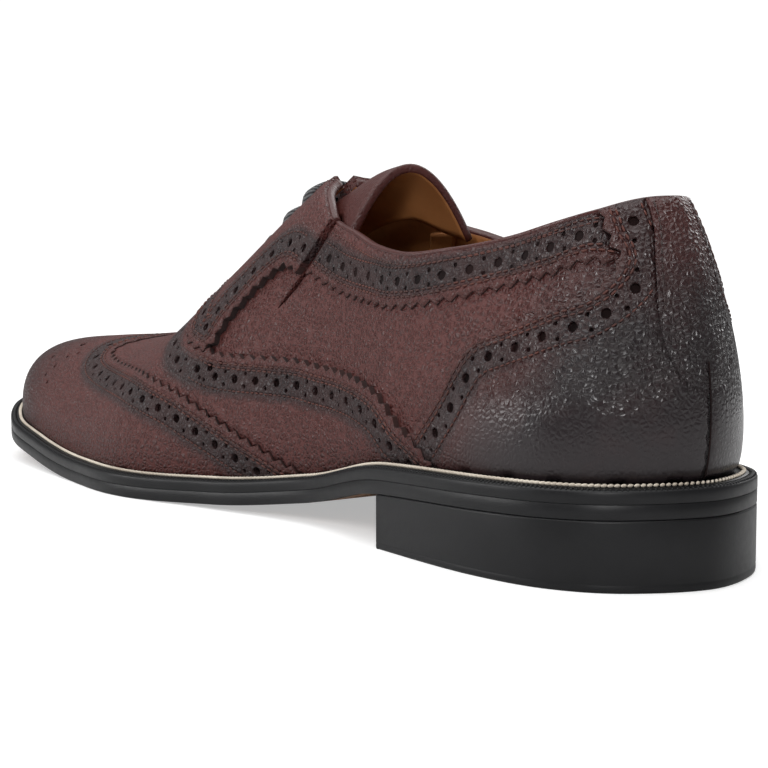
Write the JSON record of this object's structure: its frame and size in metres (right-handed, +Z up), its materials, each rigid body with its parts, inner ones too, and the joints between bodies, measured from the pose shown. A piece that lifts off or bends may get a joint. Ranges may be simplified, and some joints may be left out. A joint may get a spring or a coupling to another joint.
{
  "type": "brogue shoe",
  "caption": "Leather wingtip brogue dress shoe with laced facings, elastic side slits, storm welt and stacked heel, standing empty.",
  "frame": {"origin": "on the floor, under the middle of the shoe's box", "axes": "+X runs to the toe, +Y to the medial side, +Z up"},
  "size_m": [0.306, 0.1002, 0.0906],
  "materials": {
    "leather": "pebbled, burnished dark at the toe, heel and bands",
    "sole": "satin black edge",
    "sock": "smooth tan lining leather",
    "elastic": "ribbed elastic",
    "lace": "waxed woven lace"
  },
  "bodies": {
    "root": {"outsole": "sole", "heel_stack": "sole", "welt": "sole", "insole": "sock", "upper": "leather", "toe_cap": "leather", "vamp_panel": "leather", "eyestay_medial": "leather", "collar_band_medial": "leather", "counter_medial": "leather", "gore_medial": "elastic", "eyestay_lateral": "leather", "collar_band_lateral": "leather", "counter_lateral": "leather", "gore_lateral": "elastic", "back_strap": "leather", "tongue": "leather", "laces": "lace"}
  },
  "joints": []
}
